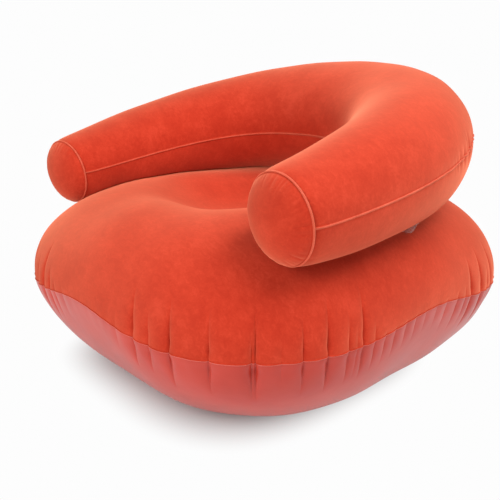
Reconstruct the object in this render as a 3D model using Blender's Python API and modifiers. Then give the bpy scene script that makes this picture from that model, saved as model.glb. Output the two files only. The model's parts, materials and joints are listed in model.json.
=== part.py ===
"""Inflatable armchair: a square pillow seat that carries a horseshoe back-and-arm tube.

Both chambers are welded from flat sheet, so each is modelled as its real panels: thin shells that
meet at a narrow weld lip. Units are metres, +Z is up, the sitter faces -Y, and the origin lies on
the floor under the middle of the seat.
"""

import math

import bmesh
import bpy
import numpy as np
from mathutils import Matrix, Vector

# Sheet and welds
SHEET = 0.0005
GAP = 0.0003
SEAT_LIP = 0.003
TUBE_LIP = 0.003

# Seat pillow, inflated
SEAT_WIDTH = 1.04
SEAT_DEPTH = 1.05
SEAM_HEIGHT = 0.242
SEAM_SIDE_RISE = 0.013
SEAM_RIPPLE = 0.0045
CROWN_RISE = 0.250
SAG_DEPTH = 0.050
SAG_SPREAD = 0.278
SAG_FORWARD = 0.119
DIMPLE_DEPTH = 0.065
DIMPLE_SPREAD = 0.170
DIMPLE_WIDENING_share = 1.2
DIMPLE_FORWARD = 0.070
DIMPLE_POWER = 3
DIMPLE_FADE_POWER = 16
ARM_DENT_DEPTH = 0.008
ARM_DENT_SPREAD = 0.120
OUTLINE_POWER = 3.24
CROWN_POWER = 3.33
CROWN_ROUNDING = 1.91
FLOOR_SHARE = 0.40
BELLY_POWER = 2.6
BELLY_ROUNDING = 1.42

# Gathers where the two square panels meet at a rounded corner
PLEAT_DEPTH = 0.011
PLEAT_OFFSET_shares = (-0.25, -0.185, -0.12, -0.02, 0.09, 0.18)
PLEAT_SPAN_share = 0.30
SIDE_SEGMENTS = 6

# Rings of the seat panels as shares of the way from the dimple to the seam
CORE_RING_shares = (0.16, 0.27, 0.38, 0.53, 0.70)
FLOOR_RING_shares = (0.40, 0.55, 0.70)
SKIRT_RING_shares = (0.83, 0.91, 0.96, 0.99, 1.00)
PLEAT_RING_shares = (0.0, 0.35, 0.8, 1.0, 0.55)

# Horseshoe tube
TUBE_END_RADIUS = 0.0895
TUBE_BACK_RADIUS = 0.159
TUBE_END_X_share = 0.7865
TUBE_BEND_X_share = 0.8115
TUBE_END_Y_share = -0.6486
TUBE_BEND_Y_share = -0.2981
TUBE_BACK_Y_share = 0.5305
TUBE_END_CLEARANCE = 0.0040
TUBE_BACK_SINK = 0.013
TUBE_BEND_POWER = 2.2
TUBE_SWELL_POWER = 1.75
TUBE_RISE_POWER = 1.12
TUBE_HEIGHT_share = 0.944
TUBE_UNDER_share = 0.99
TUBE_LEAN_share = 0.034
TUBE_STATIONS = 36
TUBE_HALF_SEGMENTS = 8
LEG_SAMPLES = 60
TURN_SAMPLES = 400
DISC_BULGE = 0.022
DISC_DROOP = 0.006
DISC_RING_shares = (0.42, 0.76, 0.97)

# Weld tabs between tube and seat
TAB_SHEET = 0.0006
TAB_INNER_REACH = 0.030
TAB_OUTER_REACH = 0.045
ARM_TAB_LENGTH = 0.100
BACK_TAB_LENGTH = 0.260
ARM_TAB_PLACE_share = 0.1966
TAB_STATIONS = 8
TAB_RUNS = 5
TAB_ROOM = 0.0008
TUBE_ROOM = 0.0026

# Tie web inside the seat, which holds the dimple down
WEB_ROOM = 0.0006
WEB_FLANGE_share = 0.35
WEB_FOOT_share = 0.9
WEB_FOOT_SHIFT_share = 0.6
WEB_FOOT_FLANGE = 0.010
WEB_VENT_RADIUS = 0.022
WEB_VENTS = 2

# Two-in-one air valves
FLANGE_RADIUS = 0.028
FLANGE_THICKNESS = 0.0012
NECK_RADIUS = 0.0160
NECK_BORE_RADIUS = 0.0135
NECK_DEPTH = 0.014
SEAL_RADIUS = 0.0010
PLUG_HEAD_RADIUS = 0.0185
PLUG_HEAD_THICKNESS = 0.0030
PLUG_LENGTH = 0.0105
PLUG_BORE_RADIUS = 0.0075
GRIP_NOTCH_RADIUS = 0.0022
GRIP_NOTCHES = 8
CAP_RADIUS = 0.0112
CAP_THICKNESS = 0.0018
SPIGOT_LENGTH = 0.0045
SPIGOT_TAPER = 0.0007
STRAP_WIDTH = 0.0070
PULL_TAB_REACH = 0.0035
PULL_TAB_WIDTH = 0.0060
FLAP_OVERLAP = 0.0012
FLAP_THICKNESS = 0.0008
VALVE_SEGMENTS = 24
CUT_OVERRUN = 0.010

HALF_WIDTH = SEAT_WIDTH / 2
HALF_DEPTH = SEAT_DEPTH / 2
TUBE_END_X = HALF_WIDTH * TUBE_END_X_share
TUBE_BEND_X = HALF_WIDTH * TUBE_BEND_X_share
TUBE_END_Y = HALF_DEPTH * TUBE_END_Y_share
TUBE_BEND_Y = HALF_DEPTH * TUBE_BEND_Y_share
TUBE_BACK_Y = HALF_DEPTH * TUBE_BACK_Y_share
LIP_RISE = SHEET + GAP / 2
TAB_STACK = TAB_ROOM + TAB_SHEET + TUBE_ROOM
QUARTER = math.pi / 2
FULL_TURN = 2 * math.pi


def remove_everything():
    for item in list(bpy.data.objects):
        bpy.data.objects.remove(item, do_unlink=True)


def make_collection(name):
    collection = bpy.data.collections.new(name)
    bpy.context.scene.collection.children.link(collection)
    return collection


def srgb(red, green, blue):
    """Linear colour of an 8-bit screen colour."""
    def linear(value):
        value /= 255
        return value / 12.92 if value <= 0.04045 else ((value + 0.055) / 1.055) ** 2.4
    return (linear(red), linear(green), linear(blue), 1.0)


def make_material(name, colour, roughness, alpha=1.0):
    material = bpy.data.materials.new(name)
    material.use_nodes = True
    shader = material.node_tree.nodes["Principled BSDF"]
    shader.inputs["Base Color"].default_value = colour
    shader.inputs["Roughness"].default_value = roughness
    shader.inputs["Metallic"].default_value = 0.0
    shader.inputs["Alpha"].default_value = alpha
    return material


def join_rings(bm, inner, outer, closed):
    """Faces between two rings, the outer one with as many points or twice as many."""
    step = len(outer) // len(inner)
    count = len(inner) if closed else len(inner) - 1
    for i in range(count):
        a = inner[i]
        b = inner[(i + 1) % len(inner)]
        run = [outer[(i * step + k) % len(outer)] for k in range(step + 1)]
        if step == 1:
            bm.faces.new((a, run[0], run[1], b))
        else:
            bm.faces.new((a, run[0], run[1]))
            bm.faces.new((a, run[1], b))
            bm.faces.new((b, run[1], run[2]))


def loft(name, rings, closed=True, pole=None, cap=False, flip=False):
    """A surface through rings of unlike outline, as a new mesh."""
    bm = bmesh.new()
    loops = [[bm.verts.new(point) for point in ring] for ring in rings]
    if pole is not None:
        tip = bm.verts.new(pole)
        for i, vert in enumerate(loops[0]):
            bm.faces.new((tip, vert, loops[0][(i + 1) % len(loops[0])]))
    if cap:
        bm.faces.new(loops[0])
    for inner, outer in zip(loops, loops[1:]):
        join_rings(bm, inner, outer, closed)
    if flip:
        bmesh.ops.reverse_faces(bm, faces=bm.faces)
    mesh = bpy.data.meshes.new(name)
    bm.to_mesh(mesh)
    bm.free()
    return mesh


def add_object(name, mesh, material, collection, parent=None, location=(0, 0, 0)):
    item = bpy.data.objects.new(name, mesh)
    if material is not None:
        mesh.materials.clear()
        mesh.materials.append(material)
    collection.objects.link(item)
    item.parent = parent
    item.location = location
    return item


def add_shell(item, thickness):
    solid = item.modifiers.new("sheet", "SOLIDIFY")
    solid.thickness = thickness
    solid.offset = -1
    solid.use_even_offset = True
    item.data.shade_smooth()
    item.data.set_sharp_from_angle(angle=math.radians(50))


def add_cut(item, cutter):
    cut = item.modifiers.new("cut", "BOOLEAN")
    cut.operation = "DIFFERENCE"
    cut.solver = "EXACT"
    cut.object = cutter


def seam_reach(angle):
    """Distance from the seat's middle to its seam, a rounded square in plan."""
    across = abs(math.cos(angle)) / HALF_WIDTH
    along = abs(math.sin(angle)) / HALF_DEPTH
    return (across ** OUTLINE_POWER + along ** OUTLINE_POWER) ** (-1 / OUTLINE_POWER)


def seam_share(x, y):
    """How far out a plan point lies, 0 in the middle and 1 on the seam."""
    reach = math.hypot(x, y)
    return min(reach / seam_reach(math.atan2(y, x)), 1.0)


def seam_wave(angle):
    """Height of the seam above its mean: the corners hang lower than the middles of the sides."""
    return SEAM_SIDE_RISE * math.cos(4 * angle) + SEAM_RIPPLE * math.cos(8 * angle)


def arm_dent(x, y):
    """How far the end of an arm presses the seat down."""
    away = math.hypot(abs(x) - TUBE_END_X, y - TUBE_END_Y) / ARM_DENT_SPREAD
    return ARM_DENT_DEPTH * math.exp(-away ** 2)


def seat_top(x, y):
    """Height of the sitting surface: a crown that sags, with the tied-down dimple in it."""
    share = seam_share(x, y)
    crown = CROWN_RISE * (1 - share ** CROWN_POWER) ** (1 / CROWN_ROUNDING)
    sag = SAG_DEPTH * math.exp(-(math.hypot(x, y + SAG_FORWARD) / SAG_SPREAD) ** 2)
    away = math.hypot(x / DIMPLE_WIDENING_share, y + DIMPLE_FORWARD) / DIMPLE_SPREAD
    dimple = DIMPLE_DEPTH * math.exp(-away ** DIMPLE_POWER)
    hollow = (sag + dimple + arm_dent(x, y)) * (1 - share ** DIMPLE_FADE_POWER)
    return SEAM_HEIGHT + seam_wave(math.atan2(y, x)) * share ** 2 + crown - hollow + LIP_RISE


def seat_bottom(x, y):
    """Height of the underside, flat where it stands on the floor."""
    share = seam_share(x, y)
    climb = max(share - FLOOR_SHARE, 0) / (1 - FLOOR_SHARE)
    lift = 1 - (1 - climb ** BELLY_POWER) ** (1 / BELLY_ROUNDING)
    return (SEAM_HEIGHT + seam_wave(math.atan2(y, x)) - LIP_RISE) * lift


def corner_angles():
    """Angles of the ridges and valleys of one corner's gathers, about its diagonal."""
    valleys = [share * QUARTER for share in PLEAT_OFFSET_shares]
    edge = PLEAT_SPAN_share * QUARTER
    bounds = [-edge] + valleys + [edge]
    ridges = [(a + b) / 2 for a, b in zip(bounds[1:], bounds[2:-1])]
    ridges = [-edge] + ridges + [edge]
    return sorted([(angle, 1.0) for angle in valleys] + [(angle, 0.0) for angle in ridges])


def skirt_meridians():
    """Angle and gather weight of every meridian of the seat panels, anticlockwise from +X."""
    meridians = []
    for corner in range(4):
        diagonal = (corner + 0.5) * QUARTER
        fold = [(diagonal + angle, weight) for angle, weight in corner_angles()]
        meridians += fold
        start = fold[-1][0]
        span = QUARTER * (1 - 2 * PLEAT_SPAN_share)
        meridians += [(start + span * k / SIDE_SEGMENTS, 0.0) for k in range(1, SIDE_SEGMENTS)]
    return meridians


def plan_point(share, angle, centre_y):
    """A point of a ring: round about the centre, and the seam's rounded square at its rim."""
    mean_reach = (HALF_WIDTH + HALF_DEPTH) / 2
    reach = share * ((1 - share) * mean_reach + share * seam_reach(angle))
    shift = centre_y * (1 - share) ** 2
    return Vector((reach * math.cos(angle), reach * math.sin(angle) + shift, 0))


def seat_ring(share, height_at, centre_y, meridians, pleat_share=0.0):
    ring = []
    for angle, weight in meridians:
        point = plan_point(share, angle, centre_y)
        point.z = height_at(point.x, point.y)
        inward = Vector((math.cos(angle), math.sin(angle), 0)) * PLEAT_DEPTH * pleat_share * weight
        ring.append(point - inward)
    return ring


def lip_ring(seam_ring, width):
    """The weld lip's outer edge, level with the seam."""
    ring = []
    for point in seam_ring:
        outward = Vector((point.x, point.y, 0)).normalized()
        ring.append(point + outward * width)
    return ring


def core_meridians(meridians):
    return meridians[::2]


def seat_skirt(height_at, centre_y, meridians):
    rings = []
    for share, pleat_share in zip(SKIRT_RING_shares, PLEAT_RING_shares):
        rings.append(seat_ring(share, height_at, centre_y, meridians, pleat_share))
    rings.append(lip_ring(rings[-1], SEAT_LIP))
    return rings


def seat_top_rings(meridians):
    core = core_meridians(meridians)
    rings = [seat_ring(share, seat_top, -DIMPLE_FORWARD, core) for share in CORE_RING_shares]
    return rings + seat_skirt(seat_top, -DIMPLE_FORWARD, meridians)


def seat_bottom_rings(meridians):
    core = core_meridians(meridians)
    rings = [seat_ring(share, seat_bottom, 0, core) for share in FLOOR_RING_shares]
    return rings + seat_skirt(seat_bottom, 0, meridians)


def seat_bottom_point(share, angle):
    point = plan_point(share, angle, 0)
    point.z = seat_bottom(point.x, point.y)
    return point


def seat_valve_frame():
    """Middle, outward normal and level direction of the flat that carries the seat's valve."""
    low = seat_bottom_point(SKIRT_RING_shares[0], QUARTER)
    high = seat_bottom_point(SKIRT_RING_shares[2], QUARTER)
    normal = (high - low).cross(Vector((1, 0, 0))).normalized()
    return (low + high) / 2, normal, Vector((1, 0, 0))


def flatten(point, middle, normal):
    return point - normal * (point - middle).dot(normal)


def flatten_seat_pad(rings, meridians):
    """The panel lies flat where the valve's flange is welded on: three rings by three meridians."""
    middle, normal, _ = seat_valve_frame()
    first = len(FLOOR_RING_shares)
    nearest = sorted(range(len(meridians)), key=lambda i: abs(meridians[i][0] - QUARTER))
    for ring in rings[first:first + 3]:
        for i in nearest[:3]:
            ring[i] = flatten(ring[i], middle, normal)


def tube_end_height():
    """Height of the tube's middle at an arm's end, whose disc just clears the seat."""
    reach = TUBE_END_RADIUS + TUBE_LIP
    crests = []
    for k in range(TUBE_HALF_SEGMENTS + 1):
        angle = math.pi * k / TUBE_HALF_SEGMENTS
        under = seat_top(TUBE_END_X + reach * math.cos(angle), TUBE_END_Y)
        crests.append(under + reach * TUBE_UNDER_share * math.sin(angle))
    return max(crests) + TUBE_END_CLEARANCE


def tube_back_height():
    """Height of the tube's middle at the back, where its weight flattens it on the seat."""
    return seat_top(0, TUBE_BACK_Y) + TUBE_BACK_RADIUS * TUBE_HEIGHT_share - TUBE_BACK_SINK


def tube_line():
    """The tube's centreline in plan, from the sitter's left arm round the back to the right."""
    leg = np.linspace(0, 1, LEG_SAMPLES)[:-1]
    leg_x = TUBE_END_X + (TUBE_BEND_X - TUBE_END_X) * np.sin(leg * QUARTER)
    leg_y = TUBE_END_Y + (TUBE_BEND_Y - TUBE_END_Y) * leg
    turn = np.linspace(0, math.pi, TURN_SAMPLES)
    power = 2 / TUBE_BEND_POWER
    bend_x = TUBE_BEND_X * np.sign(np.cos(turn)) * np.abs(np.cos(turn)) ** power
    bend_y = TUBE_BEND_Y + (TUBE_BACK_Y - TUBE_BEND_Y) * np.abs(np.sin(turn)) ** power
    x = np.concatenate([leg_x, bend_x, -leg_x[::-1]])
    y = np.concatenate([leg_y, bend_y, leg_y[::-1]])
    climb = ((y - TUBE_END_Y) / (TUBE_BACK_Y - TUBE_END_Y)) ** TUBE_RISE_POWER
    z = tube_end_height() + (tube_back_height() - tube_end_height()) * climb
    return np.stack([x, y, z], axis=1)


def tube_station(line, share):
    """Middle, radius and the tangent, outward and upward directions at a share of the length."""
    runs = np.linalg.norm(np.diff(line, axis=0), axis=1)
    travel = np.concatenate([[0], np.cumsum(runs)])
    at = share * travel[-1]
    middle = Vector([np.interp(at, travel, line[:, k]) for k in range(3)])
    reach = travel[-1] / (4 * TUBE_STATIONS)
    ends = [min(max(at + side * reach, 0), travel[-1]) for side in (-1, 1)]
    before, after = [Vector([np.interp(e, travel, line[:, k]) for k in range(3)]) for e in ends]
    tangent = (after - before).normalized()
    rise = tube_back_height() - tube_end_height()
    run = TUBE_BACK_Y - TUBE_END_Y
    plane_normal = Vector((0, -(rise + TUBE_LEAN_share * run), run)).normalized()
    outward = tangent.cross(plane_normal).normalized()
    upward = outward.cross(tangent)
    from_end = 1 - abs(2 * share - 1)
    swell = 1 - (1 - from_end) ** TUBE_SWELL_POWER
    radius = TUBE_END_RADIUS + (TUBE_BACK_RADIUS - TUBE_END_RADIUS) * swell
    return middle, radius, tangent, outward, upward


def around_tube(station, angle):
    """Direction from the tube's middle to its skin: it stands a little flat, and hangs fuller."""
    _, _, _, outward, upward = station
    height_share = TUBE_HEIGHT_share if math.sin(angle) > 0 else TUBE_UNDER_share
    return outward * math.cos(angle) + upward * math.sin(angle) * height_share


def tube_section_point(station, angle, lift):
    """A point of the tube's skin; it flattens where it rests on the seat."""
    middle, radius, _, _, upward = station
    point = middle + around_tube(station, angle) * radius + upward * lift
    point.z = max(point.z, seat_top(point.x, point.y) + TAB_STACK)
    return point


def tube_ring(station, side):
    """Half a section, over the top (side 1) or under (side -1), with a weld lip at both edges."""
    _, _, _, outward, upward = station
    lift = side * LIP_RISE
    angles = [side * math.pi * k / TUBE_HALF_SEGMENTS for k in range(TUBE_HALF_SEGMENTS + 1)]
    ring = [tube_section_point(station, angle, lift) for angle in angles]
    first = ring[0] + outward * TUBE_LIP
    last = ring[-1] - outward * TUBE_LIP
    return [first] + ring + [last]


def tube_valve_frame(line):
    """Middle, outward normal and level direction of the flat that carries the tube's valve."""
    station = tube_station(line, 0.5)
    step = math.pi / TUBE_HALF_SEGMENTS
    high = tube_section_point(station, -step, -LIP_RISE)
    low = tube_section_point(station, -2 * step, -LIP_RISE)
    normal = (high - low).cross(Vector((1, 0, 0))).normalized()
    return (low + high) / 2, normal, Vector((1, 0, 0))


def flatten_tube_pad(rings, line):
    middle, normal, _ = tube_valve_frame(line)
    centre = len(rings) // 2
    for ring in rings[centre - 1:centre + 2]:
        for k in (2, 3):
            ring[k] = flatten(ring[k], middle, normal)


def tube_rings(line, side):
    shares = [i / TUBE_STATIONS for i in range(TUBE_STATIONS + 1)]
    return [tube_ring(tube_station(line, share), side) for share in shares]


def end_disc_rings(line, share, away):
    """A domed disc that closes the tube's end, with its weld lip; away points out of the tube."""
    station = tube_station(line, share)
    middle, radius, _, _, upward = station
    count = 2 * TUBE_HALF_SEGMENTS
    rings = []
    for ring_share in DISC_RING_shares + (1.0,):
        reach = radius * ring_share if ring_share < 1 else radius + TUBE_LIP
        dome = max(1 - (ring_share / DISC_RING_shares[-1]) ** 2, 0)
        centre = middle + away * (GAP + SHEET + DISC_BULGE * dome) - upward * DISC_DROOP * dome
        angles = [FULL_TURN * k / count for k in range(count)]
        rings.append([centre + around_tube(station, angle) * reach for angle in angles])
    pole = middle + away * (GAP + SHEET + DISC_BULGE) - upward * DISC_DROOP
    return rings, pole


def tab_rings(line, share, length):
    """A strip that lies on the seat under the tube and shows along the tube's outer side."""
    total = float(np.linalg.norm(np.diff(line, axis=0), axis=1).sum())
    rings = []
    for i in range(TAB_STATIONS + 1):
        along = share + (i / TAB_STATIONS - 0.5) * length / total
        middle, _, _, outward, _ = tube_station(line, along)
        level = Vector((outward.x, outward.y, 0)).normalized()
        ring = []
        for k in range(TAB_RUNS + 1):
            reach = -TAB_INNER_REACH + (TAB_INNER_REACH + TAB_OUTER_REACH) * k / TAB_RUNS
            point = middle + level * reach
            point.z = seat_top(point.x, point.y) + TAB_ROOM + TAB_SHEET
            ring.append(point)
        rings.append(ring)
    return rings


def build_seat(collection, cutters, flock, vinyl):
    meridians = skirt_meridians()
    top_rings = seat_top_rings(meridians)
    pole = Vector((0, -DIMPLE_FORWARD, seat_top(0, -DIMPLE_FORWARD)))
    top = add_object("seat_top_panel", loft("seat_top_panel", top_rings, pole=pole),
                     flock, collection)
    add_shell(top, SHEET)
    bottom_rings = seat_bottom_rings(meridians)
    flatten_seat_pad(bottom_rings, meridians)
    mesh = loft("seat_bottom_panel", bottom_rings, cap=True, flip=True)
    bottom = add_object("seat_bottom_panel", mesh, vinyl, collection)
    add_shell(bottom, SHEET)
    build_web(collection, cutters, vinyl, top_rings)
    return bottom


def build_web(collection, cutters, material, top_rings):
    """A sleeve of sheet welded under the dimple and to the floor panel, with vents for the air."""
    drop = Vector((0, 0, SHEET + WEB_ROOM))
    head = [point - drop for point in top_rings[0]]
    rim = [a.lerp(b, WEB_FLANGE_share) - drop for a, b in zip(top_rings[0], top_rings[1])]
    centre = Vector((0, -DIMPLE_FORWARD, 0))
    foot_centre = centre * WEB_FOOT_SHIFT_share
    foot = []
    toe = []
    for point in head:
        spoke = (point - centre) * WEB_FOOT_share
        spoke.z = 0
        floor = foot_centre + Vector((0, 0, 2 * SHEET + GAP))
        foot.append(floor + spoke)
        toe.append(floor + spoke + spoke.normalized() * WEB_FOOT_FLANGE)
    mesh = loft("seat_tie_web", [toe, foot, head, rim])
    web = add_object("seat_tie_web", mesh, material, collection)
    add_shell(web, SHEET)
    height = (head[0].z + foot[0].z) / 2
    reach = 2 * max((point - centre).xy.length for point in head) + CUT_OVERRUN
    for k in range(WEB_VENTS):
        turn = Matrix.Rotation(math.pi * (k + 0.5) / WEB_VENTS, 4, "Z")
        cutter = add_cylinder("web_vent_cutter_%d" % k, WEB_VENT_RADIUS, 2 * reach, 12, cutters)
        place = Matrix.Translation((foot_centre + centre) / 2 + Vector((0, 0, height)))
        cutter.matrix_world = place @ turn @ Matrix.Rotation(QUARTER, 4, "X")
        hide_cutter(cutter)
        add_cut(web, cutter)


def add_cylinder(name, radius, depth, segments, collection, parent=None, location=(0, 0, 0)):
    bm = bmesh.new()
    bmesh.ops.create_cone(bm, cap_ends=True, segments=segments, radius1=radius, radius2=radius,
                          depth=depth)
    mesh = bpy.data.meshes.new(name)
    bm.to_mesh(mesh)
    bm.free()
    return add_object(name, mesh, None, collection, parent, location)


def hide_cutter(cutter):
    cutter.hide_render = True
    cutter.display_type = "WIRE"


def build_tube(collection, line, flock):
    top = add_object("tube_top_panel",
                     loft("tube_top_panel", tube_rings(line, 1), closed=False), flock, collection)
    add_shell(top, SHEET)
    rings = tube_rings(line, -1)
    flatten_tube_pad(rings, line)
    mesh = loft("tube_bottom_panel", rings, closed=False, flip=True)
    bottom = add_object("tube_bottom_panel", mesh, flock, collection)
    add_shell(bottom, SHEET)
    for name, share, sign in (("left_end_disc", 0.0, -1), ("right_end_disc", 1.0, 1)):
        away = tube_station(line, share)[2] * sign
        rings, pole = end_disc_rings(line, share, away)
        mesh = loft(name, rings, pole=pole, flip=sign > 0)
        disc = add_object(name, mesh, flock, collection)
        add_shell(disc, SHEET)
    return bottom


def build_tabs(collection, line, film):
    tabs = (("left_arm_tab", ARM_TAB_PLACE_share, ARM_TAB_LENGTH),
            ("right_arm_tab", 1 - ARM_TAB_PLACE_share, ARM_TAB_LENGTH),
            ("back_tab", 0.5, BACK_TAB_LENGTH))
    for name, share, length in tabs:
        mesh = loft(name, tab_rings(line, share, length), closed=False, flip=True)
        tab = add_object(name, mesh, film, collection)
        add_shell(tab, TAB_SHEET)


def turned_profile(name, points):
    """A closed profile in the XZ plane, to be turned about Z."""
    bm = bmesh.new()
    verts = [bm.verts.new((radius, 0, height)) for radius, height in points]
    for a, b in zip(verts, verts[1:] + verts[:1]):
        bm.edges.new((a, b))
    mesh = bpy.data.meshes.new(name)
    bm.to_mesh(mesh)
    bm.free()
    return mesh


def turn(item):
    screw = item.modifiers.new("turn", "SCREW")
    screw.steps = VALVE_SEGMENTS
    screw.render_steps = VALVE_SEGMENTS
    screw.use_merge_vertices = True
    screw.merge_threshold = 0.00001
    screw.use_normal_calculate = True


def valve_empty(name, middle, normal, level, collection):
    """An empty on the valve's axis, its Z out of the chamber."""
    side = normal.cross(level).normalized()
    rotation = Matrix((level, side, normal)).transposed().to_4x4()
    empty = bpy.data.objects.new(name, None)
    collection.objects.link(empty)
    empty.matrix_world = Matrix.Translation(middle) @ rotation
    return empty


def build_valve_base(prefix, empty, collection, material):
    """The welded flange with its threaded neck, which reaches into the chamber."""
    top = GAP + FLANGE_THICKNESS
    points = ((NECK_BORE_RADIUS, top), (FLANGE_RADIUS - FLANGE_THICKNESS / 2, top),
              (FLANGE_RADIUS, GAP + FLANGE_THICKNESS / 2), (FLANGE_RADIUS, GAP),
              (NECK_RADIUS, GAP), (NECK_RADIUS, -NECK_DEPTH), (NECK_BORE_RADIUS, -NECK_DEPTH))
    name = prefix + "_valve_base"
    turn(add_object(name, turned_profile(name, points), material, collection, empty))


def build_valve_seal(prefix, empty, collection, material):
    """The sealing ring that the plug's head presses onto the flange."""
    centre = GAP + FLANGE_THICKNESS + GAP + SEAL_RADIUS
    major = (NECK_BORE_RADIUS + PLUG_HEAD_RADIUS) / 2
    ring = [(major + SEAL_RADIUS * math.sin(FULL_TURN * k / 6),
             SEAL_RADIUS * math.cos(FULL_TURN * k / 6)) for k in range(6)]
    name = prefix + "_valve_seal"
    item = add_object(name, turned_profile(name, ring), material, collection, empty,
                      (0, 0, centre))
    turn(item)


def plug_floor():
    """Height of the underside of the plug's head above the panel."""
    return GAP + FLANGE_THICKNESS + GAP + 2 * SEAL_RADIUS + GAP


def build_valve_plug(prefix, empty, collection, cutters, material):
    """The screw-in plug; its head has grip notches and its bore takes the pump's nozzle."""
    head_top = plug_floor() + PLUG_HEAD_THICKNESS
    shank = NECK_BORE_RADIUS - GAP
    chamfer = PLUG_HEAD_THICKNESS / 4
    points = ((PLUG_BORE_RADIUS, head_top), (PLUG_HEAD_RADIUS - chamfer, head_top),
              (PLUG_HEAD_RADIUS, head_top - chamfer), (PLUG_HEAD_RADIUS, plug_floor()),
              (shank, plug_floor()), (shank, plug_floor() - PLUG_LENGTH),
              (PLUG_BORE_RADIUS, plug_floor() - PLUG_LENGTH))
    name = prefix + "_valve_plug"
    plug = add_object(name, turned_profile(name, points), material, collection, empty)
    turn(plug)
    bm = bmesh.new()
    for k in range(GRIP_NOTCHES):
        angle = FULL_TURN * (k + 0.5) / GRIP_NOTCHES
        spot = Matrix.Translation((PLUG_HEAD_RADIUS * math.cos(angle),
                                   PLUG_HEAD_RADIUS * math.sin(angle), head_top))
        bmesh.ops.create_cone(bm, cap_ends=True, segments=6, radius1=GRIP_NOTCH_RADIUS,
                              radius2=GRIP_NOTCH_RADIUS, depth=4 * PLUG_HEAD_THICKNESS,
                              matrix=spot)
    mesh = bpy.data.meshes.new(prefix + "_grip_cutter")
    bm.to_mesh(mesh)
    bm.free()
    cutter = add_object(prefix + "_grip_cutter", mesh, None, cutters, empty)
    hide_cutter(cutter)
    add_cut(plug, cutter)


def build_valve_cap(prefix, empty, collection, material):
    """The push-in cap: a disc with a tapered spigot, a pull tab and a strap that bends at the rim."""
    seat = plug_floor() + PLUG_HEAD_THICKNESS + GAP
    reach = PLUG_HEAD_RADIUS
    spigot = PLUG_BORE_RADIUS - GAP
    name = prefix + "_valve_cap"
    bm = bmesh.new()
    disc = Matrix.Translation((reach, 0, CAP_THICKNESS / 2))
    bmesh.ops.create_cone(bm, cap_ends=True, segments=VALVE_SEGMENTS, radius1=CAP_RADIUS,
                          radius2=CAP_RADIUS - CAP_THICKNESS / 3, depth=CAP_THICKNESS, matrix=disc)
    mesh = bpy.data.meshes.new(name)
    bm.to_mesh(mesh)
    bm.free()
    cap = add_object(name, mesh, material, collection, empty, (-reach, 0, seat))
    stem_length = SPIGOT_LENGTH + CAP_THICKNESS / 2
    stem = add_cone(prefix + "_spigot_shape", spigot - SPIGOT_TAPER, spigot, stem_length, cap,
                    (reach, 0, CAP_THICKNESS / 2 - stem_length / 2))
    strap_length = reach - CAP_RADIUS / 2
    strap = add_box(prefix + "_strap_shape", (strap_length, STRAP_WIDTH, CAP_THICKNESS / 2), cap,
                    (strap_length / 2, 0, CAP_THICKNESS / 4))
    pull_length = CAP_RADIUS / 2 + PULL_TAB_REACH
    pull = add_box(prefix + "_pull_shape", (pull_length, PULL_TAB_WIDTH, CAP_THICKNESS * 2 / 3),
                   cap, (reach + CAP_RADIUS / 2 + pull_length / 2, 0, CAP_THICKNESS / 2))
    for shape in (stem, strap, pull):
        union = cap.modifiers.new("union", "BOOLEAN")
        union.operation = "UNION"
        union.solver = "EXACT"
        union.object = shape


def add_cone(name, low_radius, high_radius, depth, parent, location):
    cone = add_cylinder(name, low_radius, depth, VALVE_SEGMENTS, parent.users_collection[0],
                        parent, location)
    for vert in cone.data.vertices:
        if vert.co.z > 0:
            vert.co.x *= high_radius / low_radius
            vert.co.y *= high_radius / low_radius
    hide_cutter(cone)
    return cone


def add_box(name, size, parent, location):
    bm = bmesh.new()
    bmesh.ops.create_cube(bm, size=1)
    bmesh.ops.scale(bm, vec=size, verts=bm.verts)
    mesh = bpy.data.meshes.new(name)
    bm.to_mesh(mesh)
    bm.free()
    box = add_object(name, mesh, None, parent.users_collection[0], parent, location)
    hide_cutter(box)
    return box


def build_valve_flap(prefix, empty, collection, material):
    """The check flap that closes the plug's bore from inside; it hangs from one edge."""
    radius = PLUG_BORE_RADIUS + FLAP_OVERLAP
    hinge = Vector((-radius, 0, plug_floor() - PLUG_LENGTH - GAP))
    name = prefix + "_valve_flap"
    bm = bmesh.new()
    place = Matrix.Translation((radius, 0, -FLAP_THICKNESS / 2))
    bmesh.ops.create_cone(bm, cap_ends=True, segments=16, radius1=radius, radius2=radius,
                          depth=FLAP_THICKNESS, matrix=place)
    mesh = bpy.data.meshes.new(name)
    bm.to_mesh(mesh)
    bm.free()
    add_object(name, mesh, material, collection, empty, hinge)


def build_valve(prefix, frame, panel, collection, cutters, plastic, rubber):
    middle, normal, level = frame
    empty = valve_empty(prefix + "_valve_axis", middle, normal, level, collection)
    build_valve_base(prefix, empty, collection, plastic)
    build_valve_seal(prefix, empty, collection, rubber)
    build_valve_plug(prefix, empty, collection, cutters, plastic)
    build_valve_cap(prefix, empty, collection, plastic)
    build_valve_flap(prefix, empty, collection, rubber)
    hole = add_cylinder(prefix + "_hole_cutter", NECK_RADIUS + GAP, 2 * CUT_OVERRUN,
                        VALVE_SEGMENTS, cutters, empty)
    hide_cutter(hole)
    add_cut(panel, hole)


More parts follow.
